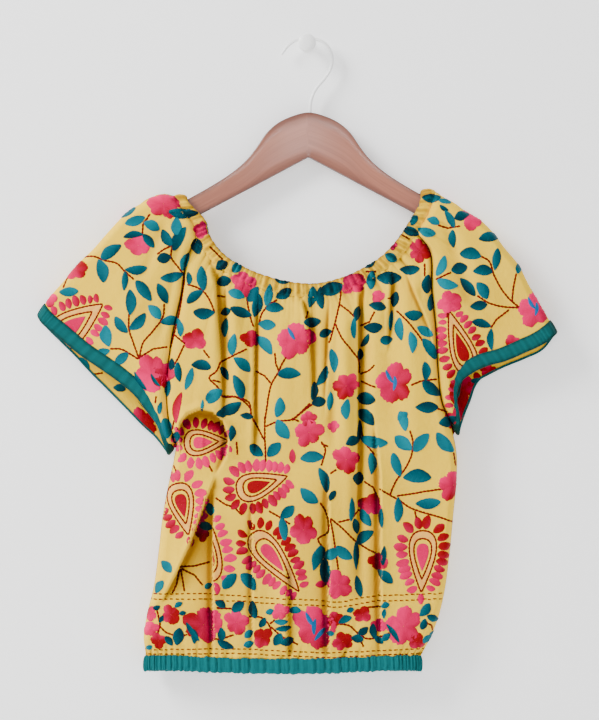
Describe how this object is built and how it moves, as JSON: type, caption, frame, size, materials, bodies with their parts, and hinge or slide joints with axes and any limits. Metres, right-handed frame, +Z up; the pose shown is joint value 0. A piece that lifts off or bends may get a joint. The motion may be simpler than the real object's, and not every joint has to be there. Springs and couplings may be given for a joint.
{
  "type": "crop top on a hanger",
  "caption": "Loose cropped top with a gathered elastic neck, short raglan sleeves and a gathered hem, hanging open and empty on a wooden hanger from a round wall peg.",
  "frame": {"origin": "centre of the wall peg's flat back face, on the wall", "axes": "+Z up, the front of the top faces -Y, +Y goes into the wall, +X to the right as seen from the front"},
  "size_m": [0.554, 0.0471, 0.6762],
  "materials": {
    "embroidered_cotton": "matt yellow cotton, hand embroidered",
    "teal_cotton": "matt teal cotton",
    "varnished_wood": "satin varnish",
    "white_wire": "white enamel",
    "white_plastic": "satin white"
  },
  "bodies": {
    "root": {"front_panel": "embroidered_cotton", "back_panel": "embroidered_cotton", "sleeve_left": "embroidered_cotton", "sleeve_right": "embroidered_cotton", "neck_casing": "embroidered_cotton", "hem_casing": "teal_cotton", "cuff_binding_left": "teal_cotton", "cuff_binding_right": "teal_cotton", "hanger_wood": "varnished_wood", "hanger_hook": "white_wire", "wall_peg": "white_plastic"}
  },
  "joints": []
}
